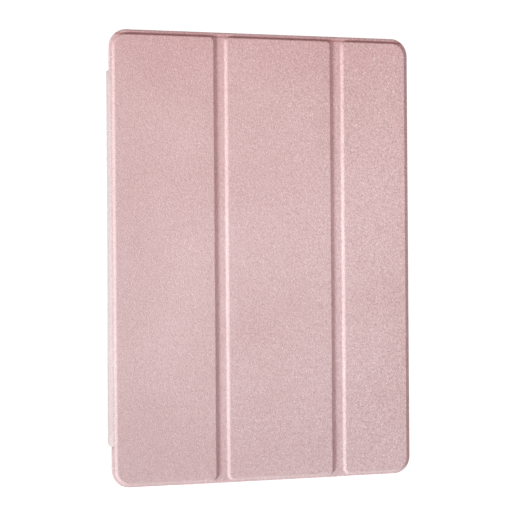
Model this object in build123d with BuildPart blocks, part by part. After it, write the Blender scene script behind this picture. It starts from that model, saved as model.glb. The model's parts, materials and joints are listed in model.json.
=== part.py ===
from build123d import *
import os

os.makedirs("parts", exist_ok=True)

# Tri-fold folio case for a 10.2-inch-class tablet, standing upright and closed.
# +Z is the long side, the folding cover faces -Y, the spine is on the -X side.
# The origin is on the floor under the middle of the case.

# ---------------------------------------------------------------- driving dimensions (mm)
cover_w = 180.2          # cover, spine side to free side
cover_h = 254.0          # cover and tray, bottom to top
total_t = 12.5           # back of the glued wing to the top of the raised panels

skin_t = 0.6             # coated leather skin
lining_t = 0.4           # microfibre lining
board_t = 1.5            # stiffening boards inside the cover panels
laminate_t = skin_t + lining_t

# depths, measured from the outer face of the glued wing towards the cover
d_shell_back = 0.5       # back plane of the tray
d_recess = 1.0           # floor of the shallow recess that takes the wing
d_floor = 1.7            # tray floor, where the tablet's back rests
d_lip = 9.3              # underside of the corner snap lips
d_rim = 9.95             # front edge of the tray walls
d_lining = 10.0          # inner face of the closed cover
d_skin = d_lining + lining_t
d_flange = d_lining + laminate_t
d_board_top = d_skin + board_t
d_plateau = total_t

# tray
tray_w = 177.0
wall = 1.25
tray_corner_r = 10.0
tray_edge_r = 3.5        # rounded back edge, outside and inside
tray_floor_r = 2.3
side_wall_d = 4.0        # along the spine the side wall stops at this depth
lip_reach = 0.7
lip_leg = 30.0
notch_floor_d = 3.2      # the wall notches are open to the front from this depth
port_half = 52.0
volume_z = (200.0, 228.0)
power_x = (58.0, 78.0)
jack_x = (-80.0, -71.0)
camera_x, camera_z, camera_r = 76.0, 241.0, 6.5

# hinge lines
hinge_r = 0.5 * laminate_t
hinge_gap = 0.05
spine_x = -cover_w / 2 + hinge_r
spine_z = (22.9, 231.1)
spine_end_gap = 0.15
d_hinge_back = 5.5       # hinge line at the foot of the spine, where the wing curves round the tray's edge
d_hinge_front = d_lining + hinge_r
fold_half = 2.5
fold_1_x = -25.75
fold_2_x = 44.9

# the glued wing: flat on the back, then a quarter turn round the tray's edge
bend_r = 5.5             # outer radius of that turn
bend_x = -cover_w / 2 + bend_r
wing_x1 = -66.0
wing_corner_r = 3.0
wing_gap = 0.1
# lower end of spine and wing: rounded off from the cover side to the back
foot_d = 10.0
foot_run = 6.3
foot_rise = 3.6
wing_z = (spine_z[0] + foot_rise, spine_z[1])

# raised panels: foot of the slope and run of the slope
flange_w = 1.6
end_flange_w = 1.5
slope_run = 1.1
slope_h = d_plateau - d_flange
slope_taper = 36.254
plateau_1 = (-87.4, -29.85)
plateau_2 = (-21.65, 40.7)
plateau_3 = (49.1, 87.5)
plateau_z = (2.3, cover_h - 3.0)
corner_r = 10.0
plateau_corner_r = 7.6
edge_round = 0.45
plateau_fold_r = 2.5
board_inset = 0.2
board_clear = 0.05

# magnets, in windows cut through the boards
magnet_t = 1.4
magnet_clear = 0.15
stand_magnet = (5.0, 24.0)
stand_magnet_x = -82.5
stand_magnet_z = (62.0, 127.0, 192.0)
closing_magnet = (4.0, 20.0)
closing_magnet_x = 83.0
closing_magnet_z = (52.0, 98.0, 156.0, 202.0)
wake_magnet = (5.0, 10.0)
wake_magnet_x = 72.0
wake_magnet_z = 127.0

# stiffener strip inside the spine
stiff_t = 0.3
stiff_d = (6.3, 9.6)
stiff_z = (spine_z[0] + 3.0, spine_z[1] - 3.0)


def layer(d):
    """Sketch plane at depth d: local x is X, local y is Z, extrusions grow towards the cover."""
    return Plane(origin=(0, total_t / 2 - d, 0), x_dir=(1, 0, 0), z_dir=(0, -1, 0))


def y_at(d):
    return total_t / 2 - d


def outline(x, z, r_left, r_right, mode=Mode.ADD):
    """Rectangle with its own corner radius on the spine side and on the free side."""
    with BuildSketch(mode=Mode.PRIVATE) as shape:
        with Locations(((x[0] + x[1]) / 2, (z[0] + z[1]) / 2)):
            Rectangle(x[1] - x[0], z[1] - z[0])
        if r_left > 0:
            fillet(shape.vertices().group_by(Axis.X)[0], r_left)
        if r_right > 0:
            fillet(shape.vertices().group_by(Axis.X)[-1], r_right)
    add(shape.sketch, mode=mode)


def grown(span, amount):
    return (span[0] - amount, span[1] + amount)


# ---------------------------------------------------------------- tray (back shell)
with BuildPart() as back_shell:
    with BuildSketch(layer(d_shell_back)):
        outline((-tray_w / 2, tray_w / 2), (0, cover_h), tray_corner_r, tray_corner_r)
    extrude(amount=d_rim - d_shell_back)
    fillet(back_shell.faces().sort_by(Axis.Y)[-1].edges(), tray_edge_r)
    inner_x = (-tray_w / 2 + wall, tray_w / 2 - wall)
    inner_z = (wall, cover_h - wall)
    inner_r = tray_corner_r - wall
    with BuildSketch(layer(d_floor)):
        outline(inner_x, inner_z, inner_r, inner_r)
    extrude(amount=d_rim - d_floor, mode=Mode.SUBTRACT)
    floor_face = [f for f in back_shell.faces().filter_by(Axis.Y)
                  if abs(f.center().Y - y_at(d_floor)) < 0.01][0]
    fillet(floor_face.edges(), tray_floor_r)
    # snap lips over the four corners of the tablet
    with BuildSketch(layer(d_lip)):
        outline(inner_x, inner_z, inner_r, inner_r)
        outline(grown(inner_x, -lip_reach), grown(inner_z, -lip_reach),
                inner_r - lip_reach, inner_r - lip_reach, mode=Mode.SUBTRACT)
        with Locations((0, cover_h / 2)):
            Rectangle(inner_x[1] * 2 - 2 * lip_leg, cover_h, mode=Mode.SUBTRACT)
            Rectangle(tray_w, cover_h - 2 * wall - 2 * lip_leg, mode=Mode.SUBTRACT)
    extrude(amount=d_rim - d_lip)
    # along the spine the side wall is cut down to a low rounded edge
    with BuildSketch(layer(side_wall_d)):
        outline((-tray_w / 2 - 2, -tray_w / 2 + 5), grown(spine_z, 0.6), 0, 0)
    extrude(amount=d_rim - side_wall_d + 1, mode=Mode.SUBTRACT)
    # shallow recess that takes the glued wing of the cover, on the back and round the edge
    with BuildSketch(Plane.XY.offset(wing_z[0] - wing_gap)):
        with Locations((wing_x1 + wing_gap, y_at(-1))):
            Rectangle(40, 1 + d_hinge_back, align=(Align.MAX, Align.MAX))
        with Locations((bend_x, y_at(d_recess))):
            Rectangle(40, 10, align=(Align.MIN, Align.MAX), mode=Mode.SUBTRACT)
        with Locations((bend_x, y_at(bend_r))):
            Circle(bend_r - laminate_t, mode=Mode.SUBTRACT)
    extrude(amount=wing_z[1] - wing_z[0] + 2 * wing_gap, mode=Mode.SUBTRACT)
    # camera window in the back
    with BuildSketch(layer(d_shell_back)):
        with Locations((camera_x, camera_z)):
            Circle(camera_r)
    extrude(amount=d_floor - d_shell_back, mode=Mode.SUBTRACT)
    camera_edges = [e for e in back_shell.edges().filter_by(GeomType.CIRCLE)
                    if abs(e.length - 6.2832 * camera_r) < 0.01]
    chamfer(ShapeList(camera_edges).sort_by(Axis.Y)[-1], 0.5)
    # bottom: charging port and loudspeakers
    with BuildSketch(Plane.XY.offset(-1)) as port_cut:
        with Locations((0, (y_at(notch_floor_d) + y_at(d_rim + 1)) / 2)):
            Rectangle(2 * port_half, d_rim + 1 - notch_floor_d)
        fillet(port_cut.vertices().group_by(Axis.Y)[-1], 2.0)
    extrude(amount=1 + wall + lip_reach + 0.3, mode=Mode.SUBTRACT)
    # top: power key and headphone socket
    for x0, x1 in (power_x, jack_x):
        with BuildSketch(Plane.XY.offset(cover_h - wall - lip_reach - 0.3)) as top_cut:
            with Locations(((x0 + x1) / 2, (y_at(notch_floor_d) + y_at(d_rim + 1)) / 2)):
                Rectangle(x1 - x0, d_rim + 1 - notch_floor_d)
            fillet(top_cut.vertices().group_by(Axis.Y)[-1], 2.0)
        extrude(amount=wall + lip_reach + 2, mode=Mode.SUBTRACT)
    # free side: volume keys
    with BuildSketch(Plane.YZ.offset(tray_w / 2 - wall - lip_reach - 0.3)) as side_cut:
        with Locations(((y_at(notch_floor_d) + y_at(d_rim + 1)) / 2, sum(volume_z) / 2)):
            Rectangle(d_rim + 1 - notch_floor_d, volume_z[1] - volume_z[0])
        fillet(side_cut.vertices().group_by(Axis.X)[-1], 2.0)
    extrude(amount=wall + lip_reach + 2, mode=Mode.SUBTRACT)
back_shell.part.label = "back_shell"
export_step(back_shell.part, "parts/back_shell.step")

# ---------------------------------------------------------------- glued wing of the cover
with BuildPart() as wing_skin:
    with BuildSketch(Plane.XY.offset(spine_z[0])):
        with Locations((bend_x, y_at(bend_r))):
            Circle(bend_r)
            Circle(bend_r - skin_t, mode=Mode.SUBTRACT)
            Rectangle(20, 20, align=(Align.MIN, Align.CENTER), mode=Mode.SUBTRACT)
        with Locations((bend_x, y_at(d_hinge_back - hinge_r - hinge_gap))):
            Rectangle(20, 20, align=(Align.CENTER, Align.MAX), mode=Mode.SUBTRACT)
    extrude(amount=spine_z[1] - spine_z[0])
    with BuildSketch(layer(0)):
        outline((bend_x, wing_x1), wing_z, 0, wing_corner_r)
    extrude(amount=skin_t)
    with BuildSketch(Plane.YZ.offset(spine_x - 2)):
        with Locations((y_at(foot_d), wing_z[0])):
            Rectangle(20, 20, align=(Align.MIN, Align.MAX))
            Ellipse(foot_run, foot_rise, mode=Mode.SUBTRACT)
    extrude(amount=8, mode=Mode.SUBTRACT)
wing_skin.part.label = "wing_skin"
export_step(wing_skin.part, "parts/wing_skin.step")

with BuildPart() as wing_lining:
    with BuildSketch(Plane.XY.offset(spine_z[0])):
        with Locations((bend_x, y_at(bend_r))):
            Circle(bend_r - skin_t)
            Circle(bend_r - laminate_t, mode=Mode.SUBTRACT)
            Rectangle(20, 20, align=(Align.MIN, Align.CENTER), mode=Mode.SUBTRACT)
        with Locations((bend_x, y_at(d_hinge_back - hinge_r - hinge_gap))):
            Rectangle(20, 20, align=(Align.CENTER, Align.MAX), mode=Mode.SUBTRACT)
    extrude(amount=spine_z[1] - spine_z[0])
    with BuildSketch(layer(skin_t)):
        outline((bend_x, wing_x1), wing_z, 0, wing_corner_r)
    extrude(amount=lining_t)
    with BuildSketch(Plane.YZ.offset(spine_x - 2)):
        with Locations((y_at(foot_d), wing_z[0])):
            Rectangle(20, 20, align=(Align.MIN, Align.MAX))
            Ellipse(foot_run, foot_rise, mode=Mode.SUBTRACT)
    extrude(amount=8, mode=Mode.SUBTRACT)
wing_lining.part.label = "wing_lining"
export_step(wing_lining.part, "parts/wing_lining.step")

# ---------------------------------------------------------------- spine, a strip with round ends on its two hinge lines
spine_len = d_hinge_front - d_hinge_back
spine_mid_y = (y_at(d_hinge_back) + y_at(d_hinge_front)) / 2
glue_x = spine_x - hinge_r + skin_t

with BuildPart() as spine_skin:
    with BuildSketch(Plane.XY.offset(spine_z[0])):
        with Locations((spine_x, spine_mid_y)):
            SlotCenterToCenter(spine_len, laminate_t, rotation=90)
        with Locations((glue_x, spine_mid_y)):
            Rectangle(4, 40, align=(Align.MIN, Align.CENTER), mode=Mode.SUBTRACT)
    extrude(amount=spine_z[1] - spine_z[0])
    with BuildSketch(Plane.XY.offset(stiff_z[0])):
        with Locations((glue_x - stiff_t / 2, (y_at(stiff_d[0]) + y_at(stiff_d[1])) / 2)):
            Rectangle(stiff_t, stiff_d[1] - stiff_d[0])
    extrude(amount=stiff_z[1] - stiff_z[0], mode=Mode.SUBTRACT)
    with BuildSketch(Plane.YZ.offset(spine_x - 2)):
        with Locations((y_at(foot_d), wing_z[0])):
            Rectangle(20, 20, align=(Align.MIN, Align.MAX))
            Ellipse(foot_run, foot_rise, mode=Mode.SUBTRACT)
    extrude(amount=8, mode=Mode.SUBTRACT)
spine_skin.part.label = "spine_skin"
export_step(spine_skin.part, "parts/spine_skin.step")

with BuildPart() as spine_stiffener:
    with BuildSketch(Plane.XY.offset(stiff_z[0])):
        with Locations((glue_x - stiff_t / 2, (y_at(stiff_d[0]) + y_at(stiff_d[1])) / 2)):
            Rectangle(stiff_t, stiff_d[1] - stiff_d[0])
    extrude(amount=stiff_z[1] - stiff_z[0])
spine_stiffener.part.label = "spine_stiffener"
export_step(spine_stiffener.part, "parts/spine_stiffener.step")

with BuildPart() as spine_lining:
    with BuildSketch(Plane.XY.offset(spine_z[0])):
        with Locations((spine_x, spine_mid_y)):
            SlotCenterToCenter(spine_len, laminate_t, rotation=90)
        with Locations((glue_x, spine_mid_y)):
            Rectangle(4, 40, align=(Align.MAX, Align.CENTER), mode=Mode.SUBTRACT)
    extrude(amount=spine_z[1] - spine_z[0])
    with BuildSketch(Plane.YZ.offset(spine_x - 2)):
        with Locations((y_at(foot_d), wing_z[0])):
            Rectangle(20, 20, align=(Align.MIN, Align.MAX))
            Ellipse(foot_run, foot_rise, mode=Mode.SUBTRACT)
    extrude(amount=8, mode=Mode.SUBTRACT)
spine_lining.part.label = "spine_lining"
export_step(spine_lining.part, "parts/spine_lining.step")


# ---------------------------------------------------------------- cover panels
def panel_outline(edge_x, r_left, r_right, notched):
    outline(edge_x, (0, cover_h), r_left, r_right)
    if notched:
        outline((-cover_w / 2 - 1, spine_x + hinge_r + hinge_gap),
                grown(spine_z, spine_end_gap), 0, 0, mode=Mode.SUBTRACT)


def foot_outline(plateau_x, r_plateau):
    outline(grown(plateau_x, slope_run), grown(plateau_z, slope_run),
            r_plateau[0] + slope_run, r_plateau[1] + slope_run)


def board_outline(plateau_x, r_plateau, extra=0.0):
    inset = board_inset - extra
    outline(grown(plateau_x, -inset), grown(plateau_z, -inset),
            r_plateau[0] - inset, r_plateau[1] - inset)


def magnet_outline(size, x, zs, extra=0.0):
    with Locations(*[(x, z) for z in zs]):
        Rectangle(size[0] + 2 * extra, size[1] + 2 * extra)


def free_edges(part):
    """Front edges of a flange that end in air, without its hinge sides."""
    front = part.faces().sort_by(Axis.Y)[0]
    return front.edges().filter_by(
        lambda e: not any(abs(e.center().X - x) < 0.01 for x in (edge_1[1], edge_2[0], edge_2[1], edge_3[0]))
        and not (e.center().X < spine_x + 3 and spine_z[0] - 1 < e.center().Z < spine_z[1] + 1))


edge_1 = (-cover_w / 2, fold_1_x - fold_half - hinge_r - hinge_gap)
edge_2 = (fold_1_x + fold_half + hinge_r + hinge_gap, fold_2_x - fold_half - hinge_r - hinge_gap)
edge_3 = (fold_2_x + fold_half + hinge_r + hinge_gap, cover_w / 2)
radii_1 = (plateau_corner_r, plateau_fold_r)
radii_2 = (plateau_fold_r, plateau_fold_r)
radii_3 = (plateau_fold_r, plateau_corner_r)

# panel 1, next to the spine
with BuildPart() as panel_1_skin:
    # flange all round
    with BuildSketch(layer(d_skin)):
        panel_outline(edge_1, corner_r, 0, True)
    extrude(amount=skin_t)
    fillet(free_edges(panel_1_skin.part), radius=edge_round)
    # sloped rise up to the flat field
    with BuildSketch(layer(d_flange)):
        foot_outline(plateau_1, radii_1)
    extrude(amount=slope_h, taper=slope_taper)
    # hollow underneath for the board
    with BuildSketch(layer(d_skin)):
        board_outline(plateau_1, radii_1, board_clear)
    extrude(amount=board_t, mode=Mode.SUBTRACT)
panel_1_skin.part.label = "panel_1_skin"
export_step(panel_1_skin.part, "parts/panel_1_skin.step")

with BuildPart() as panel_1_lining:
    with BuildSketch(layer(d_lining)):
        panel_outline(edge_1, corner_r, 0, True)
    extrude(amount=lining_t)
panel_1_lining.part.label = "panel_1_lining"
export_step(panel_1_lining.part, "parts/panel_1_lining.step")

with BuildPart() as panel_1_board:
    with BuildSketch(layer(d_skin)):
        board_outline(plateau_1, radii_1)
    extrude(amount=board_t)
    with BuildSketch(layer(d_skin)):
        magnet_outline(stand_magnet, stand_magnet_x, stand_magnet_z, magnet_clear)
    extrude(amount=board_t, mode=Mode.SUBTRACT)
panel_1_board.part.label = "panel_1_board"
export_step(panel_1_board.part, "parts/panel_1_board.step")

with BuildPart() as stand_magnets:
    with BuildSketch(layer(d_skin + (board_t - magnet_t) / 2)):
        magnet_outline(stand_magnet, stand_magnet_x, stand_magnet_z)
    extrude(amount=magnet_t)
stand_magnets.part.label = "stand_magnets"
export_step(stand_magnets.part, "parts/stand_magnets.step")

# panel 2, the middle one
with BuildPart() as panel_2_skin:
    # flange all round
    with BuildSketch(layer(d_skin)):
        panel_outline(edge_2, 0, 0, False)
    extrude(amount=skin_t)
    fillet(free_edges(panel_2_skin.part), radius=edge_round)
    # sloped rise up to the flat field
    with BuildSketch(layer(d_flange)):
        foot_outline(plateau_2, radii_2)
    extrude(amount=slope_h, taper=slope_taper)
    # hollow underneath for the board
    with BuildSketch(layer(d_skin)):
        board_outline(plateau_2, radii_2, board_clear)
    extrude(amount=board_t, mode=Mode.SUBTRACT)
panel_2_skin.part.label = "panel_2_skin"
export_step(panel_2_skin.part, "parts/panel_2_skin.step")

with BuildPart() as panel_2_lining:
    with BuildSketch(layer(d_lining)):
        panel_outline(edge_2, 0, 0, False)
    extrude(amount=lining_t)
panel_2_lining.part.label = "panel_2_lining"
export_step(panel_2_lining.part, "parts/panel_2_lining.step")

with BuildPart() as panel_2_board:
    with BuildSketch(layer(d_skin)):
        board_outline(plateau_2, radii_2)
    extrude(amount=board_t)
panel_2_board.part.label = "panel_2_board"
export_step(panel_2_board.part, "parts/panel_2_board.step")

# panel 3, the narrow one at the free edge
with BuildPart() as panel_3_skin:
    # flange all round
    with BuildSketch(layer(d_skin)):
        panel_outline(edge_3, 0, corner_r, False)
    extrude(amount=skin_t)
    fillet(free_edges(panel_3_skin.part), radius=edge_round)
    # sloped rise up to the flat field
    with BuildSketch(layer(d_flange)):
        foot_outline(plateau_3, radii_3)
    extrude(amount=slope_h, taper=slope_taper)
    # hollow underneath for the board
    with BuildSketch(layer(d_skin)):
        board_outline(plateau_3, radii_3, board_clear)
    extrude(amount=board_t, mode=Mode.SUBTRACT)
panel_3_skin.part.label = "panel_3_skin"
export_step(panel_3_skin.part, "parts/panel_3_skin.step")

with BuildPart() as panel_3_lining:
    with BuildSketch(layer(d_lining)):
        panel_outline(edge_3, 0, corner_r, False)
    extrude(amount=lining_t)
panel_3_lining.part.label = "panel_3_lining"
export_step(panel_3_lining.part, "parts/panel_3_lining.step")

with BuildPart() as panel_3_board:
    with BuildSketch(layer(d_skin)):
        board_outline(plateau_3, radii_3)
    extrude(amount=board_t)
    with BuildSketch(layer(d_skin)):
        magnet_outline(closing_magnet, closing_magnet_x, closing_magnet_z, magnet_clear)
        magnet_outline(wake_magnet, wake_magnet_x, (wake_magnet_z,), magnet_clear)
    extrude(amount=board_t, mode=Mode.SUBTRACT)
panel_3_board.part.label = "panel_3_board"
export_step(panel_3_board.part, "parts/panel_3_board.step")

with BuildPart() as closing_magnets:
    with BuildSketch(layer(d_skin + (board_t - magnet_t) / 2)):
        magnet_outline(closing_magnet, closing_magnet_x, closing_magnet_z)
    extrude(amount=magnet_t)
closing_magnets.part.label = "closing_magnets"
export_step(closing_magnets.part, "parts/closing_magnets.step")

with BuildPart() as wake_magnet_piece:
    with BuildSketch(layer(d_skin + (board_t - magnet_t) / 2)):
        magnet_outline(wake_magnet, wake_magnet_x, (wake_magnet_z,))
    extrude(amount=magnet_t)
wake_magnet_piece.part.label = "wake_magnet"
export_step(wake_magnet_piece.part, "parts/wake_magnet.step")


# ---------------------------------------------------------------- flexible fold strips between the panels
# each has round ends on its two hinge lines and is cut at the glue line between skin and lining

with BuildPart() as fold_1_skin:
    with BuildSketch(Plane.XY):
        with Locations((fold_1_x, y_at(d_hinge_front))):
            SlotCenterToCenter(2 * fold_half, laminate_t)
        with Locations((fold_1_x, y_at(d_skin))):
            Rectangle(40, 4, align=(Align.CENTER, Align.MIN), mode=Mode.SUBTRACT)
    extrude(amount=cover_h)
fold_1_skin.part.label = "fold_1_skin"
export_step(fold_1_skin.part, "parts/fold_1_skin.step")

with BuildPart() as fold_1_lining:
    with BuildSketch(Plane.XY):
        with Locations((fold_1_x, y_at(d_hinge_front))):
            SlotCenterToCenter(2 * fold_half, laminate_t)
        with Locations((fold_1_x, y_at(d_skin))):
            Rectangle(40, 4, align=(Align.CENTER, Align.MAX), mode=Mode.SUBTRACT)
    extrude(amount=cover_h)
fold_1_lining.part.label = "fold_1_lining"
export_step(fold_1_lining.part, "parts/fold_1_lining.step")

with BuildPart() as fold_2_skin:
    with BuildSketch(Plane.XY):
        with Locations((fold_2_x, y_at(d_hinge_front))):
            SlotCenterToCenter(2 * fold_half, laminate_t)
        with Locations((fold_2_x, y_at(d_skin))):
            Rectangle(40, 4, align=(Align.CENTER, Align.MIN), mode=Mode.SUBTRACT)
    extrude(amount=cover_h)
fold_2_skin.part.label = "fold_2_skin"
export_step(fold_2_skin.part, "parts/fold_2_skin.step")

with BuildPart() as fold_2_lining:
    with BuildSketch(Plane.XY):
        with Locations((fold_2_x, y_at(d_hinge_front))):
            SlotCenterToCenter(2 * fold_half, laminate_t)
        with Locations((fold_2_x, y_at(d_skin))):
            Rectangle(40, 4, align=(Align.CENTER, Align.MAX), mode=Mode.SUBTRACT)
    extrude(amount=cover_h)
fold_2_lining.part.label = "fold_2_lining"
export_step(fold_2_lining.part, "parts/fold_2_lining.step")
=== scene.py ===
import json
import math

import bmesh
import bpy
import numpy as np
from mathutils import Matrix, Vector


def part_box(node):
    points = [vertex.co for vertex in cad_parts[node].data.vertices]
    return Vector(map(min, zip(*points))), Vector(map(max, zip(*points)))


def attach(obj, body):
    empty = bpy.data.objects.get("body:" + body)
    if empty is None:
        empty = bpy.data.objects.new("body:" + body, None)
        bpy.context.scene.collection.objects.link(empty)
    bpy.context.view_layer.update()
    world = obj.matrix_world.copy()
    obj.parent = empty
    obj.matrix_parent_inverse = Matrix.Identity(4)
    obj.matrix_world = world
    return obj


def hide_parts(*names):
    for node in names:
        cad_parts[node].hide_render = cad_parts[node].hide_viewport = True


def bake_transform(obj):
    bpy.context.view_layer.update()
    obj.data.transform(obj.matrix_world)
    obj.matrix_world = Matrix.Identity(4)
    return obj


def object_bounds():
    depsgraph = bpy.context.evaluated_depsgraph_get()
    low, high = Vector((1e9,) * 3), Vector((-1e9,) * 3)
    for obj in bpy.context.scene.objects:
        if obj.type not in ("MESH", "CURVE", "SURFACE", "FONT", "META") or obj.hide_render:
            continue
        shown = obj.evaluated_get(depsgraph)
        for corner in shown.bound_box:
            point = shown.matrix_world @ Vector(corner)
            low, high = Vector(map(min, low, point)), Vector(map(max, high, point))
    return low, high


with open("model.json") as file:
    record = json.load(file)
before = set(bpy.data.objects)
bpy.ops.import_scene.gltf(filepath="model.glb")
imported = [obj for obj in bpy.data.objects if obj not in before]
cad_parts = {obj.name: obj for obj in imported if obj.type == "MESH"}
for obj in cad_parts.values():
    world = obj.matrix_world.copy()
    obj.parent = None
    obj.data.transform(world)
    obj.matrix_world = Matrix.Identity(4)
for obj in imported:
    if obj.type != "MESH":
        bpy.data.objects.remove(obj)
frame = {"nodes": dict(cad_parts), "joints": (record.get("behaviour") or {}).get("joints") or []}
cad_lo, cad_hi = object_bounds()
nodes = frame["nodes"]

# ------------------------------------------------------------------ sizes read from the frame (millimetres)
MM = 0.001


def box(node):
    lo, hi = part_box(node)
    return [c * 1000 for c in lo], [c * 1000 for c in hi]


BACK_Y = cad_hi.y * 1000
X0, X1, H = cad_lo.x * 1000, cad_hi.x * 1000, cad_hi.z * 1000


def depth(y):
    return BACK_Y - y


D_TOP = depth(cad_lo.y * 1000)
s_lo, s_hi = box("fold_1_skin")
D_FLANGE, D_SKIN = depth(s_lo[1]), depth(s_hi[1])
D_LINING = depth(box("fold_1_lining")[1][1])
STEP = D_TOP - D_FLANGE
GROOVE = [(box(f"fold_{k}_skin")[0][0] + box(f"fold_{k}_skin")[1][0]) / 2 for k in (1, 2)]
HINGE = {j["name"]: [c * 1000 for c in j["pos_m"]] for j in frame["joints"]}
PLATEAU = []
for k in (1, 2, 3):
    b_lo, b_hi = box(f"panel_{k}_board")
    PLATEAU.append((b_lo[0] - 0.2, b_hi[0] + 0.2, b_lo[2] - 0.2, b_hi[2] + 0.2))
SPINE_Z = (box("spine_skin")[0][2], box("spine_skin")[1][2])
WING_X1 = box("wing_skin")[1][0]
D_HINGE_BACK = depth(HINGE["spine_back_hinge"][1])
SPINE_X = HINGE["spine_back_hinge"][0]
SKIN_T = D_FLANGE - D_SKIN
LAM_T = D_FLANGE - D_LINING
FOOT_RISE = 3.6
FOOT_RUN = 6.3
FOOT_D = D_LINING


# ------------------------------------------------------------------ mesh helpers
def make_object(name, verts, faces, material, merge=0.004):
    """verts are (x, depth, z) in millimetres."""
    me = bpy.data.meshes.new(name)
    co = [(x * MM, (BACK_Y - d) * MM, z * MM) for x, d, z in verts]
    me.from_pydata(co, [], faces)
    bm = bmesh.new()
    bm.from_mesh(me)
    bmesh.ops.remove_doubles(bm, verts=bm.verts, dist=merge * MM)
    loose = [v for v in bm.verts if not v.link_faces]
    if loose:
        bmesh.ops.delete(bm, geom=loose, context="VERTS")
    bmesh.ops.recalc_face_normals(bm, faces=bm.faces)
    for f in bm.faces:
        f.smooth = True
    for e in bm.edges:
        if len(e.link_faces) == 2 and e.calc_face_angle(0) > math.radians(50):
            e.smooth = False
    bm.to_mesh(me)
    bm.free()
    me.materials.append(material)
    ob = bpy.data.objects.new(name, me)
    bpy.context.scene.collection.objects.link(ob)
    return ob


def rounded(x0, x1, z0, z1, radii, xf, zf, na=10):
    """Closed ring on a rectangle with four corner radii (low-left, low-right, high-right, high-left).
    xf and zf are the fractions at which the straight sides are sampled."""
    bl, br, tr, tl = radii
    pts = []

    def arc(cx, cz, r, a0):
        for i in range(na + 1):
            a = math.radians(a0 + 90 * i / na)
            pts.append((cx + r * math.cos(a), cz + r * math.sin(a)))

    arc(x0 + bl, z0 + bl, bl, 180)
    for f in xf:
        pts.append((x0 + bl + f * (x1 - br - x0 - bl), z0))
    arc(x1 - br, z0 + br, br, 270)
    for f in zf:
        pts.append((x1, z0 + br + f * (z1 - tr - z0 - br)))
    arc(x1 - tr, z1 - tr, tr, 0)
    for f in reversed(xf):
        pts.append((x0 + tl + f * (x1 - tr - x0 - tl), z1))
    arc(x0 + tl, z1 - tl, tl, 90)
    for f in reversed(zf):
        pts.append((x0, z0 + bl + f * (z1 - tl - z0 - bl)))
    return np.array(pts)


def stack(name, rings, material):
    """rings: list of (points (n, 2), depth scalar or array). Closed body from the first ring to the last."""
    n = len(rings[0][0])
    verts, faces = [], []
    for pts, d in rings:
        d = np.broadcast_to(d, (n,))
        verts += [(float(p[0]), float(dd), float(p[1])) for p, dd in zip(pts, d)]
    for k in range(len(rings) - 1):
        for i in range(n):
            j = (i + 1) % n
            faces.append((k * n + i, k * n + j, (k + 1) * n + j, (k + 1) * n + i))
    return make_object(name, verts, faces, material)


def fillet_path(points, radii, steps=6):
    """Polyline with its inner corners replaced by arcs (quadratic) of the given tangent lengths."""
    out = [points[0]]
    for i in range(1, len(points) - 1):
        p, a, b = np.array(points[i], float), np.array(points[i - 1], float), np.array(points[i + 1], float)
        t = radii[i - 1]
        pa = p + (a - p) / np.linalg.norm(a - p) * t
        pb = p + (b - p) / np.linalg.norm(b - p) * t
        for k in range(steps + 1):
            u = k / steps
            q = (1 - u) ** 2 * pa + 2 * u * (1 - u) * p + u * u * pb
            out.append((float(q[0]), float(q[1])))
    out.append(points[-1])
    return out


ROLL_W, ROLL_H, OUT_R = 1.45, 0.46, 10.0


def outline_distance(x, z):
    """Distance from a point of the cover to its outer outline, a rectangle with rounded corners."""
    hx, hz = (X1 - X0) / 2, H / 2
    qx = abs(x - (X0 + X1) / 2) - (hx - OUT_R)
    qz = abs(z - hz) - (hz - OUT_R)
    outside = math.hypot(max(qx, 0.0), max(qz, 0.0))
    return OUT_R - outside - min(max(qx, qz), 0.0)


def roll(dist):
    """How far the face falls back towards a free edge, over the last ROLL_W."""
    if dist >= ROLL_W:
        return 0.0
    r = (ROLL_W ** 2 + ROLL_H ** 2) / (2 * ROLL_H)
    u = ROLL_W - max(dist, 0.0)
    return r - math.sqrt(max(r * r - u * u, 0.0))


def swell(x, z):
    """Very slight unevenness of the padded skin, in millimetres."""
    return 0.022 * (
        math.sin(x / 17.0 + 1.3) * math.sin(z / 23.0 + 0.4)
        + 0.6 * math.sin(x / 9.0 - z / 31.0 + 2.1)
        + 0.5 * math.sin(x / 28.0 + z / 13.0)
    )


# ------------------------------------------------------------------ node materials
def new_material(name):
    m = bpy.data.materials.new(name)
    m.use_nodes = True
    nt = m.node_tree
    nt.nodes.clear()
    out = nt.nodes.new("ShaderNodeOutputMaterial")
    bsdf = nt.nodes.new("ShaderNodeBsdfPrincipled")
    nt.links.new(bsdf.outputs["BSDF"], out.inputs["Surface"])
    coord = nt.nodes.new("ShaderNodeTexCoord")
    return m, nt, bsdf, coord


def node(nt, kind, **values):
    n = nt.nodes.new(kind)
    for k, v in values.items():
        if k in n.inputs:
            n.inputs[k].default_value = v
        else:
            setattr(n, k, v)
    return n


def noise(nt, coord, scale, detail=4.0, rough=0.55):
    n = node(nt, "ShaderNodeTexNoise")
    n.inputs["Scale"].default_value = scale
    n.inputs["Detail"].default_value = detail
    n.inputs["Roughness"].default_value = rough
    nt.links.new(coord.outputs["Object"], n.inputs["Vector"])
    return n


def ramp(nt, source, stops):
    r = nt.nodes.new("ShaderNodeValToRGB")
    el = r.color_ramp.elements
    while len(el) > 1:
        el.remove(el[-1])
    el[0].position, el[0].color = stops[0][0], (*stops[0][1], 1)
    for pos, col in stops[1:]:
        e = el.new(pos)
        e.color = (*col, 1)
    nt.links.new(source, r.inputs["Fac"])
    return r


def math_node(nt, op, a, b):
    m = nt.nodes.new("ShaderNodeMath")
    m.operation = op
    for i, v in enumerate((a, b)):
        if isinstance(v, (int, float)):
            m.inputs[i].default_value = v
        else:
            nt.links.new(v, m.inputs[i])
    return m


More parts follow.
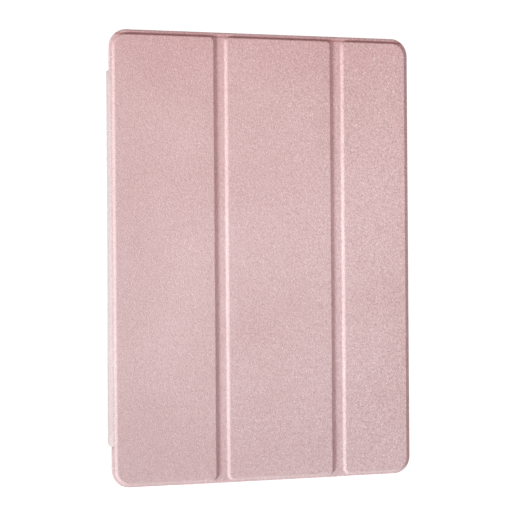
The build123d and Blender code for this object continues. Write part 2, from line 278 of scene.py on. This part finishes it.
def map_range(nt, source, lo, hi, to_lo, to_hi):
    m = nt.nodes.new("ShaderNodeMapRange")
    for k, v in (("From Min", lo), ("From Max", hi), ("To Min", to_lo), ("To Max", to_hi)):
        m.inputs[k].default_value = v
    nt.links.new(source, m.inputs["Value"])
    return m


def mix_color(nt, fac, a, b, blend="MIX"):
    m = nt.nodes.new("ShaderNodeMix")
    m.data_type = "RGBA"
    m.blend_type = blend
    for i, v in ((0, fac), (6, a), (7, b)):
        if isinstance(v, (int, float)):
            m.inputs[i].default_value = v
        elif isinstance(v, tuple):
            m.inputs[i].default_value = (*v, 1)
        else:
            nt.links.new(v, m.inputs[i])
    return m


def leather_material(name, shade=(1.0, 1.0, 1.0)):
    """Fine pebbled coated leather with a pearl sheen."""
    m, nt, bsdf, coord = new_material(name)
    # soft low-frequency shifts of tone
    cloud = noise(nt, coord, 16.0, 3.0, 0.5)
    tone = ramp(nt, cloud.outputs["Fac"], [
        (pos, tuple(c * v for c, v in zip(col, shade)))
        for pos, col in ((0.30, (0.598, 0.406, 0.406)), (0.52, (0.629, 0.440, 0.441)), (0.75, (0.657, 0.469, 0.471)))
    ])
    # pebbles about 0.8 mm across
    warp = noise(nt, coord, 420.0, 2.0, 0.5)
    warp_amount = nt.nodes.new("ShaderNodeVectorMath")
    warp_amount.operation = "SCALE"
    warp_amount.inputs["Scale"].default_value = 0.0009
    nt.links.new(warp.outputs["Color"], warp_amount.inputs[0])
    moved = nt.nodes.new("ShaderNodeVectorMath")
    moved.operation = "ADD"
    nt.links.new(coord.outputs["Object"], moved.inputs[0])
    nt.links.new(warp_amount.outputs["Vector"], moved.inputs[1])
    pebble = nt.nodes.new("ShaderNodeTexVoronoi")
    pebble.feature = "SMOOTH_F1"
    pebble.inputs["Scale"].default_value = 1450.0
    pebble.inputs["Smoothness"].default_value = 0.35
    nt.links.new(moved.outputs["Vector"], pebble.inputs["Vector"])
    pebble_h = map_range(nt, pebble.outputs["Distance"], 0.0, 0.75, 1.0, 0.0)
    fine = noise(nt, coord, 2600.0, 3.0, 0.6)
    medium = noise(nt, coord, 760.0, 3.0, 0.6)
    # colour: crests a little lighter, creases a little deeper
    crest = map_range(nt, pebble_h.outputs["Result"], 0.15, 0.9, 0.0, 1.0)
    tinted = mix_color(nt, crest.outputs["Result"], (0.86, 0.81, 0.82), (1.05, 1.06, 1.06))
    col = mix_color(nt, 0.75, tone.outputs["Color"], tinted.outputs[2], "MULTIPLY")
    speck = ramp(nt, medium.outputs["Fac"], [(0.34, (0.86, 0.835, 0.835)), (0.5, (1.0, 1.0, 1.0)), (0.66, (1.10, 1.12, 1.12))])
    up = nt.nodes.new("ShaderNodeSeparateXYZ")
    nt.links.new(coord.outputs["Object"], up.inputs["Vector"])
    # the grain's specks are weaker beside the spine than at the free edge
    speck_strength = map_range(nt, up.outputs["X"], -0.085, 0.070, 0.50, 1.0)
    col2 = mix_color(nt, 0.8, col.outputs[2], speck.outputs["Color"], "MULTIPLY")
    nt.links.new(speck_strength.outputs["Result"], col2.inputs[0])
    # painted shade for how the light falls: darker and redder towards the top edge, darker and cooler towards the
    # bottom, a little darker towards the spine side
    height = map_range(nt, up.outputs["Z"], 0.0, 0.254, 0.0, 1.0)
    light_falloff_shade = ramp(nt, height.outputs["Result"], [(0.0, (0.870, 0.872, 0.884)), (0.22, (0.945, 0.950, 0.957)), (0.5, (1.0, 1.0, 1.0)), (0.78, (0.985, 0.945, 0.945)), (1.0, (0.945, 0.845, 0.845))])
    across = map_range(nt, up.outputs["X"], -0.090, -0.050, 0.955, 1.0)
    light_falloff_shade_mix = mix_color(nt, 1.0, light_falloff_shade.outputs["Color"], (1, 1, 1), "MULTIPLY")
    nt.links.new(across.outputs["Result"], light_falloff_shade_mix.inputs[7])
    col3 = mix_color(nt, 1.0, col2.outputs[2], light_falloff_shade_mix.outputs[2], "MULTIPLY")
    # painted shade: the slope along the upper edge is darkened and reddened where it faces away from the light
    rise = map_range(nt, up.outputs["Z"], 0.2507, 0.2512, 0.0, 1.0)
    fall = map_range(nt, up.outputs["Z"], 0.2518, 0.2524, 1.0, 0.0)
    top_slope_shade = math_node(nt, "MULTIPLY", rise.outputs["Result"], fall.outputs["Result"])
    top_slope_shaded = mix_color(nt, 0.0, col3.outputs[2], (0.78, 0.60, 0.60), "MULTIPLY")
    nt.links.new(top_slope_shade.outputs[0], top_slope_shaded.inputs[0])
    # painted glints: pale specks mixed into the base colour stand for the pearl's sparkle, fewer on the shaded upper
    # slope and more towards the free edge
    glint_noise = noise(nt, coord, 1650.0, 2.0, 0.7)
    painted_glint = map_range(nt, glint_noise.outputs["Fac"], 0.57, 0.72, 0.0, 0.50)
    col4 = mix_color(nt, 0.0, top_slope_shaded.outputs[2], (0.93, 0.84, 0.84))
    painted_glint_amount = math_node(nt, "MULTIPLY", painted_glint.outputs["Result"], map_range(nt, top_slope_shade.outputs[0], 0.0, 1.0, 1.0, 0.4).outputs["Result"])
    painted_glint_amount = math_node(nt, "MULTIPLY", painted_glint_amount.outputs[0], map_range(nt, up.outputs["X"], -0.085, 0.070, 0.55, 1.35).outputs["Result"])
    nt.links.new(painted_glint_amount.outputs[0], col4.inputs[0])
    nt.links.new(col4.outputs[2], bsdf.inputs["Base Color"])
    # pearl: part metallic, with a soft gloss that varies over the grain
    gloss = map_range(nt, medium.outputs["Fac"], 0.3, 0.7, 0.58, 0.72)
    nt.links.new(gloss.outputs["Result"], bsdf.inputs["Roughness"])
    bsdf.inputs["Metallic"].default_value = 0.02
    bsdf.inputs["IOR"].default_value = 1.5
    bsdf.inputs["Specular IOR Level"].default_value = 0.12
    bsdf.inputs["Coat Weight"].default_value = 0.06
    bsdf.inputs["Coat Roughness"].default_value = 0.55
    bsdf.inputs["Sheen Weight"].default_value = 0.60
    bsdf.inputs["Sheen Roughness"].default_value = 0.35
    h1 = math_node(nt, "MULTIPLY", pebble_h.outputs["Result"], 0.62)
    h2 = math_node(nt, "MULTIPLY", fine.outputs["Fac"], 0.22)
    h3 = math_node(nt, "MULTIPLY", medium.outputs["Fac"], 0.5)
    h12 = math_node(nt, "ADD", h1.outputs[0], h2.outputs[0])
    h = math_node(nt, "ADD", h12.outputs[0], h3.outputs[0])
    bump = nt.nodes.new("ShaderNodeBump")
    bump.inputs["Strength"].default_value = 0.95
    bump.inputs["Distance"].default_value = 0.00017
    nt.links.new(h.outputs[0], bump.inputs["Height"])
    nt.links.new(bump.outputs["Normal"], bsdf.inputs["Normal"])
    return m


def lining_material():
    """Short-nap microfibre."""
    m, nt, bsdf, coord = new_material("rose_microfibre")
    cloud = noise(nt, coord, 26.0, 4.0, 0.6)
    tone = ramp(nt, cloud.outputs["Fac"], [(0.3, (0.405, 0.238, 0.238)), (0.55, (0.425, 0.255, 0.254)), (0.75, (0.445, 0.272, 0.270))])
    nap = noise(nt, coord, 1900.0, 5.0, 0.7)
    nap_col = ramp(nt, nap.outputs["Fac"], [(0.3, (0.78, 0.77, 0.77)), (0.55, (1.0, 1.0, 1.0)), (0.75, (1.16, 1.16, 1.16))])
    col = mix_color(nt, 0.85, tone.outputs["Color"], nap_col.outputs["Color"], "MULTIPLY")
    nt.links.new(col.outputs[2], bsdf.inputs["Base Color"])
    bsdf.inputs["Roughness"].default_value = 0.92
    bsdf.inputs["Specular IOR Level"].default_value = 0.2
    bsdf.inputs["Sheen Weight"].default_value = 0.45
    bsdf.inputs["Sheen Roughness"].default_value = 0.45
    bump = nt.nodes.new("ShaderNodeBump")
    bump.inputs["Strength"].default_value = 0.5
    bump.inputs["Distance"].default_value = 0.00012
    nt.links.new(nap.outputs["Fac"], bump.inputs["Height"])
    nt.links.new(bump.outputs["Normal"], bsdf.inputs["Normal"])
    return m


def shell_material():
    """Frosted translucent polycarbonate with a faint rose tint."""
    m, nt, bsdf, coord = new_material("frosted_shell")
    cloud = noise(nt, coord, 34.0, 3.0, 0.5)
    tone = ramp(nt, cloud.outputs["Fac"], [(0.3, (0.92, 0.835, 0.828)), (0.7, (0.95, 0.875, 0.868))])
    nt.links.new(tone.outputs["Color"], bsdf.inputs["Base Color"])
    etch = noise(nt, coord, 2400.0, 4.0, 0.65)
    rough = map_range(nt, etch.outputs["Fac"], 0.3, 0.7, 0.36, 0.50)
    nt.links.new(rough.outputs["Result"], bsdf.inputs["Roughness"])
    bsdf.inputs["Transmission Weight"].default_value = 0.50
    bsdf.inputs["IOR"].default_value = 1.48
    bump = nt.nodes.new("ShaderNodeBump")
    bump.inputs["Strength"].default_value = 0.25
    bump.inputs["Distance"].default_value = 0.00005
    nt.links.new(etch.outputs["Fac"], bump.inputs["Height"])
    nt.links.new(bump.outputs["Normal"], bsdf.inputs["Normal"])
    return m


def board_material():
    m, nt, bsdf, coord = new_material("board_sheet")
    grain = noise(nt, coord, 900.0, 4.0, 0.6)
    tone = ramp(nt, grain.outputs["Fac"], [(0.35, (0.075, 0.072, 0.070)), (0.65, (0.115, 0.110, 0.108))])
    nt.links.new(tone.outputs["Color"], bsdf.inputs["Base Color"])
    bsdf.inputs["Roughness"].default_value = 0.7
    bump = nt.nodes.new("ShaderNodeBump")
    bump.inputs["Distance"].default_value = 0.00004
    nt.links.new(grain.outputs["Fac"], bump.inputs["Height"])
    nt.links.new(bump.outputs["Normal"], bsdf.inputs["Normal"])
    return m


def magnet_material():
    m, nt, bsdf, coord = new_material("plated_magnet")
    grain = noise(nt, coord, 1500.0, 3.0, 0.6)
    tone = ramp(nt, grain.outputs["Fac"], [(0.35, (0.48, 0.49, 0.51)), (0.65, (0.58, 0.59, 0.61))])
    nt.links.new(tone.outputs["Color"], bsdf.inputs["Base Color"])
    rough = map_range(nt, grain.outputs["Fac"], 0.3, 0.7, 0.24, 0.36)
    nt.links.new(rough.outputs["Result"], bsdf.inputs["Roughness"])
    bsdf.inputs["Metallic"].default_value = 1.0
    return m


LEATHER = leather_material("rose_leather")
# painted shade: the spine and wing get a darker copy of the leather, toning down the strong light on the left-facing
# spine
SHADED_SPINE_LEATHER = leather_material("rose_leather_spine_shaded", (0.90, 0.94, 0.94))
LINING = lining_material()
SHELL = shell_material()
BOARD = board_material()
MAGNET = magnet_material()


def dress(name, material):
    ob = nodes[name]
    ob.data.materials.clear()
    ob.data.materials.append(material)
    for p in ob.data.polygons:
        p.material_index = 0


for n in ("panel_1_board", "panel_2_board", "panel_3_board", "spine_stiffener"):
    dress(n, BOARD)
for n in ("stand_magnets", "closing_magnets", "wake_magnet"):
    dress(n, MAGNET)
dress("back_shell", SHELL)

# ------------------------------------------------------------------ cover panels
SLOPE_RUN = 1.1
CREST_OUT = 0.27
R_OUT, R_IN, R_EDGE = 7.6, 2.5, 10.0
SEAM_IN = 1.85           # from plateau edge to the joint with the fold strip, on the groove floor
NOTCH_IN = 1.45          # the same on the spine side
NOTCH_X = PLATEAU[0][0] - NOTCH_IN
NOTCH_Z = (SPINE_Z[0] - 0.15, SPINE_Z[1] + 0.15)
LINING_NOTCH_X = SPINE_X + 2.0
SEAM = [
    (PLATEAU[0][1] + SEAM_IN, PLATEAU[1][0] - SEAM_IN),
    (PLATEAU[1][1] + SEAM_IN, PLATEAU[2][0] - SEAM_IN),
]
EDGE = [(X0, SEAM[0][0]), (SEAM[0][1], SEAM[1][0]), (SEAM[1][1], X1)]
PR = [(R_OUT, R_IN, R_IN, R_OUT), (R_IN,) * 4, (R_IN, R_OUT, R_OUT, R_IN)]
ER = [(R_EDGE, 0.0, 0.0, R_EDGE), (0.0,) * 4, (0.0, R_EDGE, R_EDGE, 0.0)]

XF = [(i + 0.5) / 12 for i in range(12)]
ZF = [(i + 0.5) / 44 for i in range(44)]
for zz in NOTCH_Z:
    f = (zz - R_EDGE) / (H - 2 * R_EDGE)
    ZF += [f - 0.00005, f + 0.00005]
ZF = sorted(ZF)

profile = fillet_path([(-1.6, STEP), (CREST_OUT, STEP), (SLOPE_RUN, 0.0), (1.83, 0.0)], [0.82, 0.66], 9)


def offset_ring(k, s):
    x0, x1, z0, z1 = PLATEAU[k]
    radii = [max(r + s, 0.0) for r in PR[k]]
    return rounded(x0 - s, x1 + s, z0 - s, z1 + s, radii, XF, ZF)


def edge_ring(k, notch_x, notch_z):
    pts = rounded(EDGE[k][0], EDGE[k][1], 0.0, H, ER[k], XF, ZF)
    if k == 0:
        for p in pts:
            if p[0] < X0 + 0.01 and notch_z[0] < p[1] < notch_z[1]:
                p[0] = notch_x
    return pts


def free_edge(k, pts, notch_x):
    """1 on edges that end in air, 0 where the piece runs on into a strip."""
    f = np.ones(len(pts))
    for i, (x, z) in enumerate(pts):
        if k in (0, 1) and abs(x - EDGE[k][1]) < 0.02:
            f[i] = 0.0
        if k in (1, 2) and abs(x - EDGE[k][0]) < 0.02:
            f[i] = 0.0
        if k == 0 and abs(x - notch_x) < 0.02:
            f[i] = 0.0
    return f


def half_width(k):
    return (PLATEAU[k][1] - PLATEAU[k][0]) / 2


INNER = [1.6, 2.4, 4.0, 6.5, 10.0, 14.0, 19.0, 24.0]


def crease_fill(k, x, z):
    """On the spine side the foot of the slope runs out at a lean, into the bend."""
    run = x - NOTCH_X
    if k > 0 or run > 1.2 or run < 0:
        return -1.0
    ends = min(1.0, max(0.0, (min(z - NOTCH_Z[0], NOTCH_Z[1] - z) + 3.0) / 3.0))
    return run * math.tan(math.radians(20)) * ends


def panel_skin(k):
    rings = []
    half = half_width(k)
    for s in [half] + [v for v in reversed(INNER) if v < half - 2]:
        pts = offset_ring(k, -s)
        crown = 0.10 * (1 - math.exp(-(s - 1.5) / 5.0)) if s > 1.6 else 0.0
        fade = min(1.0, (s - 1.6) / 5.0)
        d = np.array([D_TOP + crown + fade * swell(x, z) for x, z in pts])
        rings.append((pts, np.minimum(d, D_TOP + 0.14)))
    for s, h in profile[1:]:
        pts = offset_ring(k, s)
        if k == 0:
            for p in pts:                      # tighter foot on the spine side
                dx = PLATEAU[0][0] - p[0]
                if dx > 1.0:
                    p[0] = PLATEAU[0][0] - 1.0 - (dx - 1.0) * (NOTCH_IN - 0.03 - 1.0) / 0.83
        lift = np.array([D_FLANGE + max(h, crease_fill(k, x, z)) for x, z in pts])
        rings.append((pts, lift))
    outer = edge_ring(k, NOTCH_X, NOTCH_Z)
    last = rings[-1][0]
    for t in (0.14, 0.28, 0.42, 0.56, 0.70, 0.82, 0.92, 0.97, 1.0):
        pts = last + (outer - last) * t
        rings.append((pts, np.array([D_FLANGE + max(0.0, crease_fill(k, x, z)) - roll(outline_distance(x, z)) for x, z in pts])))
    rings.append((outer, D_SKIN))
    # hollow underside that holds the board
    pocket = offset_ring(k, -0.15)
    rings.append((pocket, D_SKIN))
    rings.append((pocket, D_SKIN + 1.5))
    rings.append((offset_ring(k, -4.0), D_SKIN + 1.5))
    rings.append((offset_ring(k, -half), D_SKIN + 1.5))
    ob = stack(f"panel_{k + 1}_cover", rings, LEATHER)
    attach(ob, f"panel_{k + 1}")
    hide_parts(f"panel_{k + 1}_skin")
    return ob


def panel_lining(k):
    half = half_width(k)
    rings = []
    d = D_LINING
    for s in [half] + [v for v in reversed(INNER) if v < half - 2]:
        rings.append((offset_ring(k, -s), d))
    # shallow channel pressed round the board's outline
    for s, h in ((-0.9, 0.0), (-0.55, 0.05), (-0.15, 0.10), (0.25, 0.10), (0.6, 0.05), (0.9, 0.0)):
        rings.append((offset_ring(k, s), d + h))
    outer = edge_ring(k, LINING_NOTCH_X, NOTCH_Z)
    last = rings[-1][0]
    free = free_edge(k, outer, LINING_NOTCH_X)
    gap = np.linalg.norm(outer - last, axis=1)[:, None] + 1e-9
    inward = (last - outer) / gap
    rings.append((last + (outer - last) * 0.5, d))
    rings.append((outer + inward * np.minimum(0.10 * free[:, None], gap * 0.4), d))
    rings.append((outer, d + 0.10 * free))
    rings.append((outer, D_SKIN))
    rings.append((offset_ring(k, -0.3), D_SKIN))
    rings.append((offset_ring(k, -half), D_SKIN))
    ob = stack(f"panel_{k + 1}_inner", rings, LINING)
    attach(ob, f"panel_{k + 1}")
    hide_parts(f"panel_{k + 1}_lining")
    return ob


for k in range(3):
    panel_skin(k)
    panel_lining(k)


# ------------------------------------------------------------------ strips between and beside the panels: fold grooves, spine, wing
def ease(t):
    t = min(max(t, 0.0), 1.0)
    return t * t * (3 - 2 * t)


def belly(d, z):
    """The spine stands out a little towards its lower end; nothing at its two seams."""
    return -0.62 * ease((165.0 - z) / 130.0) * ease(d / 3.0) * ease((D_SKIN - d) / 3.4)


def band(name, outer, inner, z_lo, z_hi, material, soft=0.16, nz=24, rolled=False, bow=None):
    """Closed band: outer and inner are matching (x, depth) paths, z_lo and z_hi its lower and upper end at each point. bow moves the outer face only."""
    n = len(outer)
    verts, faces = [], []
    loops = []
    for i in range(n):
        o, q = np.array(outer[i], float), np.array(inner[i], float)
        t = np.linalg.norm(q - o)
        lo, hi = z_lo[i], z_hi[i]
        if rolled:
            ends = [(roll(v) / t, v) for v in (ROLL_W, 1.2, 0.98, 0.78, 0.6, 0.44, 0.3, 0.18, 0.08, 0.03, 0.0)]
        else:
            e = min(soft, 0.3 * t)
            ends = [(0.0, e), (0.3 * e / t, 0.3 * e), (e / t, 0.0)]
        inset = ends[0][1]
        loop = [(a, lo + v) for a, v in reversed(ends)]
        loop += [(0.0, lo + inset + (hi - lo - 2 * inset) * (j + 1) / nz) for j in range(nz - 1)]
        loop += [(a, hi - v) for a, v in ends]
        loop += [(1.0, hi)]
        loop += [(1.0, hi - (hi - lo) * (j + 1) / 8) for j in range(7)]
        loop += [(1.0, lo)]
        loops.append([(*(o + (q - o) * a), z, 1.0 - a) for a, z in loop])
    m = len(loops[0])
    for loop in loops:
        verts += [(float(x + (w * bow(d, z) if bow else 0.0)), float(d), float(z)) for x, d, z, w in loop]
    for i in range(n - 1):
        for j in range(m):
            k = (j + 1) % m
            faces.append((i * m + j, i * m + k, (i + 1) * m + k, (i + 1) * m + j))
    faces.append(tuple(range(m)))
    faces.append(tuple((n - 1) * m + j for j in range(m))[::-1])
    return make_object(name, verts, faces, material)


def flat(x_list, d):
    return [(x, d) for x in x_list]


def steps(a, b, n):
    return [a + (b - a) * i / n for i in range(n + 1)]


for k in (1, 2):
    mid = GROOVE[k - 1]
    left, right = SEAM[k - 1]
    near, far = HINGE[f"fold_{k}_near"][0], HINGE[f"fold_{k}_far"][0]
    bodies = (f"panel_{k}", f"fold_{k}", f"panel_{k + 1}")
    for side, (a, b, xs, s, e) in {
        "near": (bodies[0], bodies[1], steps(left, mid, 26), left + 0.0, near + 1.5),
        "far": (bodies[1], bodies[2], steps(mid, right, 26), far - 1.5, right - 0.0),
    }.items():
        n = len(xs)
        lo, hi = [0.0] * n, [H] * n
        skin = band(f"groove_{k}_{side}_skin", flat(xs, D_FLANGE), flat(xs, D_SKIN), lo, hi, LEATHER, rolled=True)
        lining = band(f"groove_{k}_{side}_lining", flat(xs, D_LINING), flat(xs, D_SKIN), lo, hi, LINING, soft=0.10)
        for ob, cad, slot in ((skin, f"fold_{k}_skin", "cover_skin"), (lining, f"fold_{k}_lining", "cover_lining")):
            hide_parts(cad)
            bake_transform(ob)


def foot_z(d):
    """Lower end of the spine and wing at depth d: it rises towards the back."""
    if d >= FOOT_D:
        return SPINE_Z[0]
    if d <= FOOT_D - FOOT_RUN:
        return SPINE_Z[0] + FOOT_RISE
    u = (FOOT_D - d) / FOOT_RUN
    return SPINE_Z[0] + FOOT_RISE * (1 - math.sqrt(1 - u * u))


def arc_pts(cx, cd, r, a0, a1, n):
    return [(cx + r * math.cos(math.radians(a)), cd + r * math.sin(math.radians(a))) for a in steps(a0, a1, n)]


XO = SPINE_X - LAM_T / 2                 # outer face of the spine
XG = XO + SKIN_T                         # glue line
XI = XO + LAM_T                          # inner face
D_MID = 8.0
LEAN = math.radians(20)                  # tilt at which the bend runs out on to the cover
BEND = (NOTCH_X - XO) / (1 - math.sin(LEAN))          # outer radius of the bend into the cover
D_BEND = D_FLANGE - BEND * math.cos(LEAN)
BEND_BACK = D_HINGE_BACK                 # outer radius of the turn on to the back
XC = XO + BEND_BACK
d_cut = D_HINGE_BACK - 0.9

# front half of the spine, bending into panel 1
line_d = steps(D_MID, D_BEND, 8)


def bend_arc(r):
    return arc_pts(XO + BEND, D_BEND, r, 180, 90 + math.degrees(LEAN), 14)[1:]


p_out = [(XO, d) for d in line_d] + bend_arc(BEND)
p_glue = [(XG, d) for d in line_d] + bend_arc(BEND - SKIN_T)
p_in = [(XI, d) for d in line_d] + bend_arc(BEND - LAM_T)
ext_lin = steps(p_in[-1][0], LINING_NOTCH_X, 6)[1:]
lo_z = [foot_z(d) for _, d in p_out]
hi_z = [SPINE_Z[1]] * len(p_out)


def blend_front(ob):
    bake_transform(ob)


ob = band("spine_front_skin", p_out, p_glue, lo_z, hi_z, SHADED_SPINE_LEATHER, bow=belly)
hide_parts("spine_skin")
blend_front(ob)
ob = band("spine_front_lining", p_in + [(x, D_LINING) for x in ext_lin], p_glue + [(x, D_SKIN) for x in ext_lin],
          lo_z + [SPINE_Z[0]] * len(ext_lin), hi_z + [SPINE_Z[1]] * len(ext_lin), LINING, soft=0.10)
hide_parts("spine_lining")
blend_front(ob)

# back half of the spine, up to the foot hinge
line_d = steps(d_cut, D_MID, 22)
lo_z = [foot_z(d) for d in line_d]
hi_z = [SPINE_Z[1]] * len(line_d)


def blend_back(ob):
    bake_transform(ob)


ob = band("spine_back_skin", [(XO, d) for d in line_d], [(XG, d) for d in line_d], lo_z, hi_z, SHADED_SPINE_LEATHER, bow=belly)
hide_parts("spine_skin")
blend_back(ob)
ob = band("spine_back_lining", [(XI, d) for d in line_d], [(XG, d) for d in line_d], lo_z, hi_z, LINING, soft=0.10)
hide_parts("spine_lining")
blend_back(ob)

# wing: up to the foot hinge, round the tray's edge and flat on the back, with rounded corners
CORNER = 3.0
line_d = [d_cut]
a_start = 180 + math.degrees(math.asin((BEND_BACK - d_cut) / BEND_BACK))
turn = steps(a_start, 270, 16)
flat_x = steps(XC, WING_X1 - CORNER, 6)[1:]
corner_x = [WING_X1 - CORNER + CORNER * math.sin(math.radians(a)) for a in steps(0, 90, 8)][1:]
xs = flat_x + corner_x


def wing_path(r, d):
    cx, cd = XC, BEND_BACK
    return [(cx + r * math.cos(math.radians(a)), cd + r * math.sin(math.radians(a))) for a in turn] + [(x, d) for x in xs]


w_out, w_glue, w_in = wing_path(BEND_BACK, 0.0), wing_path(BEND_BACK - SKIN_T, SKIN_T), wing_path(BEND_BACK - LAM_T, LAM_T)
pull = [0.0] * (len(turn) + len(flat_x)) + [CORNER - math.sqrt(max(CORNER ** 2 - (x - (WING_X1 - CORNER)) ** 2, 0.0)) for x in corner_x]
base = [foot_z(d) for _, d in w_out]
lo_z = [b + p for b, p in zip(base, pull)]
hi_z = [SPINE_Z[1] - p for p in pull]
ob = band("wing_cover", w_out, w_glue, lo_z, hi_z, SHADED_SPINE_LEATHER, bow=belly)
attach(ob, "back")
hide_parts("wing_skin")
ob = band("wing_inner", w_in, w_glue, lo_z, hi_z, LINING, soft=0.10)
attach(ob, "back")
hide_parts("wing_lining")

# ------------------------------------------------------------------ floor, light, camera
scene = bpy.context.scene
scene.view_settings.view_transform = "Standard"
scene.view_settings.look = "None"

fm, fnt, fb, fc = new_material("pale_floor")
fn = noise(fnt, fc, 3.0, 3.0, 0.5)
fr = ramp(fnt, fn.outputs["Fac"], [(0.3, (0.86, 0.86, 0.86)), (0.7, (0.89, 0.89, 0.89))])
fnt.links.new(fr.outputs["Color"], fb.inputs["Base Color"])
fb.inputs["Roughness"].default_value = 0.85
fb.inputs["Emission Color"].default_value = (1, 1, 1, 1)
fb.inputs["Emission Strength"].default_value = 0.85
floor_me = bpy.data.meshes.new("floor")
S = 6.0
floor_me.from_pydata([(-S, -S, 0), (S, -S, 0), (S, S, 0), (-S, S, 0)], [], [(0, 1, 2, 3)])
floor_me.materials.append(fm)
floor = bpy.data.objects.new("floor", floor_me)
scene.collection.objects.link(floor)
floor.location.z = -0.0004
floor.visible_shadow = False
floor.visible_diffuse = False

FRONT = 1.91
world = bpy.data.worlds.new("studio")
scene.world = world
world.use_nodes = True
wt = world.node_tree
wt.nodes.clear()
w_out_n = wt.nodes.new("ShaderNodeOutputWorld")
w_bg = wt.nodes.new("ShaderNodeBackground")
w_tc = wt.nodes.new("ShaderNodeTexCoord")
w_sep = wt.nodes.new("ShaderNodeSeparateXYZ")
wt.links.new(w_tc.outputs["Generated"], w_sep.inputs["Vector"])


def w_range(source, a, b, to_a, to_b):
    m = wt.nodes.new("ShaderNodeMapRange")
    m.interpolation_type = "SMOOTHSTEP"
    for key, v in (("From Min", a), ("From Max", b), ("To Min", to_a), ("To Max", to_b)):
        m.inputs[key].default_value = v
    wt.links.new(source, m.inputs["Value"])
    return m


def w_math(op, a, b):
    m = wt.nodes.new("ShaderNodeMath")
    m.operation = op
    for i, v in enumerate((a, b)):
        if isinstance(v, (int, float)):
            m.inputs[i].default_value = v
        else:
            wt.links.new(v, m.inputs[i])
    return m


Y, Z = w_sep.outputs["Y"], w_sep.outputs["Z"]
behind = w_range(Y, 0.0, 0.35, 0.0, 1.0)                       # white wall behind the object
low = w_range(Z, 0.25, 0.60, 1.05, 0.10)
wall = w_math("MULTIPLY", behind.outputs["Result"], low.outputs["Result"])
band_up = w_range(Z, 0.05, 0.15, 1.0, 0.0)                     # pale band all round the horizon
band_down = w_range(Z, -0.12, -0.03, 0.0, 1.0)
horizon = w_math("MULTIPLY", band_up.outputs["Result"], band_down.outputs["Result"])
ahead = w_math("MAXIMUM", w_math("MULTIPLY", Y, -1.0).outputs[0], 0.0)
lobe = w_math("POWER", ahead.outputs[0], 1.6)                  # broad soft light from the front
dimmer = w_range(Z, -0.1, 0.65, 1.0, 0.22)                      # darker ceiling
under = w_range(Z, -0.85, 0.0, 0.12, 1.0)
lobe = w_math("MULTIPLY", lobe.outputs[0], under.outputs["Result"])
front = w_math("MULTIPLY", w_math("MULTIPLY", lobe.outputs[0], dimmer.outputs["Result"]).outputs[0], FRONT)
lit = w_math("MAXIMUM", w_math("MAXIMUM", wall.outputs[0], horizon.outputs[0]).outputs[0],
             w_math("ADD", front.outputs[0], 0.07).outputs[0])
wt.links.new(lit.outputs[0], w_bg.inputs["Strength"])
warm = wt.nodes.new("ShaderNodeMix")                           # the front fill is slightly warm
warm.data_type = "RGBA"
wt.links.new(w_range(lobe.outputs[0], 0.0, 0.5, 0.0, 1.0).outputs["Result"], warm.inputs[0])
warm.inputs[6].default_value = (1, 1, 1, 1)
warm.inputs[7].default_value = (1.0, 0.84, 0.84, 1)
wt.links.new(warm.outputs[2], w_bg.inputs["Color"])
wt.links.new(w_bg.outputs["Background"], w_out_n.inputs["Surface"])


def area(name, loc, target, size, power, color=(1, 1, 1)):
    light = bpy.data.lights.new(name, "AREA")
    light.shape = "RECTANGLE"
    light.size, light.size_y = size
    light.energy = power
    light.color = color
    ob = bpy.data.objects.new(name, light)
    scene.collection.objects.link(ob)
    ob.location = loc
    ob.rotation_euler = (Vector(target) - Vector(loc)).to_track_quat("-Z", "Y").to_euler()
    return ob


area("key_left", (-2.82, -1.32, -1.30), (0, 0, 0.13), (0.80, 0.80), 184.0, (0.80, 1.0, 1.0))

cam_data = bpy.data.cameras.new("camera")
cam = bpy.data.objects.new("camera", cam_data)
scene.collection.objects.link(cam)
yaw, pitch, tilt = math.radians(19.80), math.radians(0.143), math.radians(-0.426)
forward = Vector((math.sin(yaw) * math.cos(pitch), math.cos(yaw) * math.cos(pitch), -math.sin(pitch)))
right = Vector((math.cos(yaw), -math.sin(yaw), 0.0))
up = right.cross(forward)
right2 = right * math.cos(tilt) + up * math.sin(tilt)
up2 = -right * math.sin(tilt) + up * math.cos(tilt)
flange_y = (BACK_Y - D_FLANGE) * MM
location = Vector((-0.34349, flange_y - 0.94570, 0.12862))
rot = Matrix((right2, up2, -forward)).transposed()
cam.matrix_world = Matrix.Translation(location) @ rot.to_4x4()
cam_data.sensor_width = 36.0
cam_data.lens = 1768.0 / 518.0 * 36.0
cam_data.clip_start, cam_data.clip_end = 0.05, 30.0
scene.camera = cam

bpy.context.view_layer.update()
